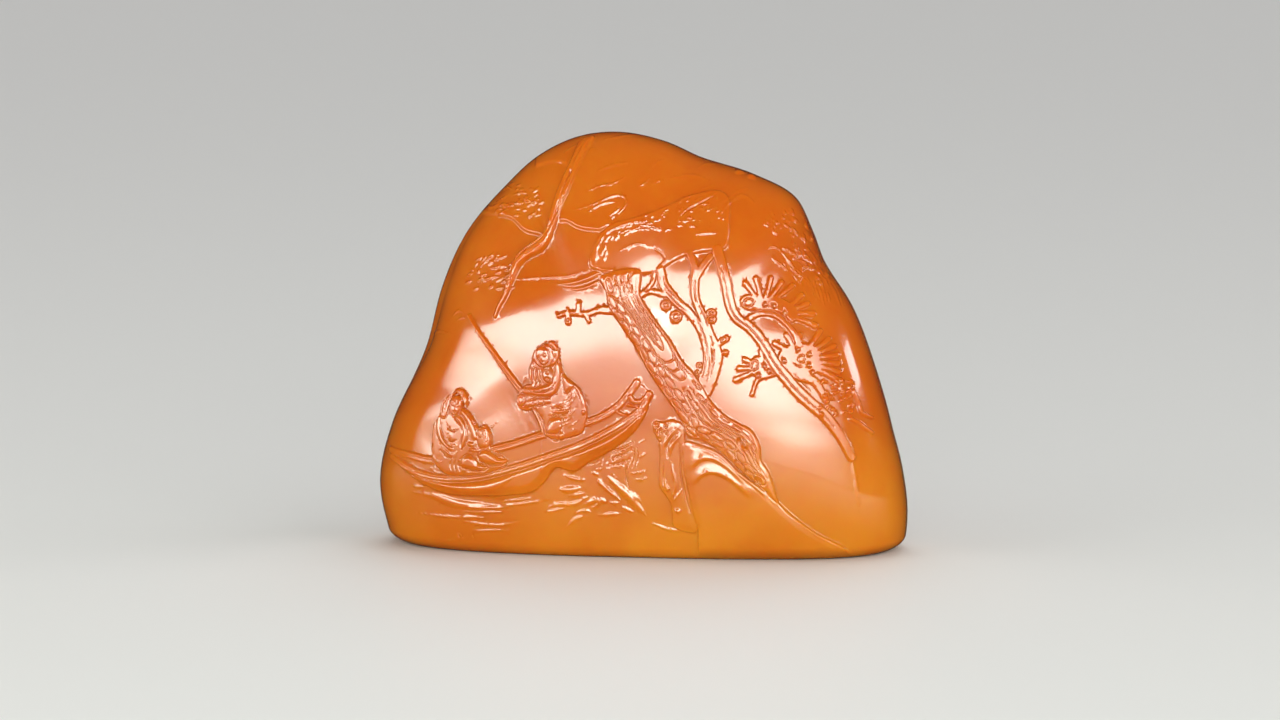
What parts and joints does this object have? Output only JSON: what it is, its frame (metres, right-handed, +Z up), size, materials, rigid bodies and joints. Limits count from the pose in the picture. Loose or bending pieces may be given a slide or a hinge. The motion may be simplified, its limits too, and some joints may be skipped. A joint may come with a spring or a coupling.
{
  "type": "carved soapstone pebble",
  "caption": "Palm-sized orange soapstone pebble, polished all over and carved in thin relief with a river boat, old trees, rocks and mist.",
  "frame": {"origin": "in the flat underside, under the middle of the stone", "axes": "+Z up, +X to the right seen from the carved front, +Y away from the viewer towards the back"},
  "size_m": [0.0887, 0.0343, 0.069],
  "materials": {
    "polished_stone": "honey-orange soapstone with yellower and redder clouds, waxy and slightly translucent, polished to a gloss"
  },
  "bodies": {
    "root": {"carved_pebble": "polished_stone"}
  },
  "joints": []
}
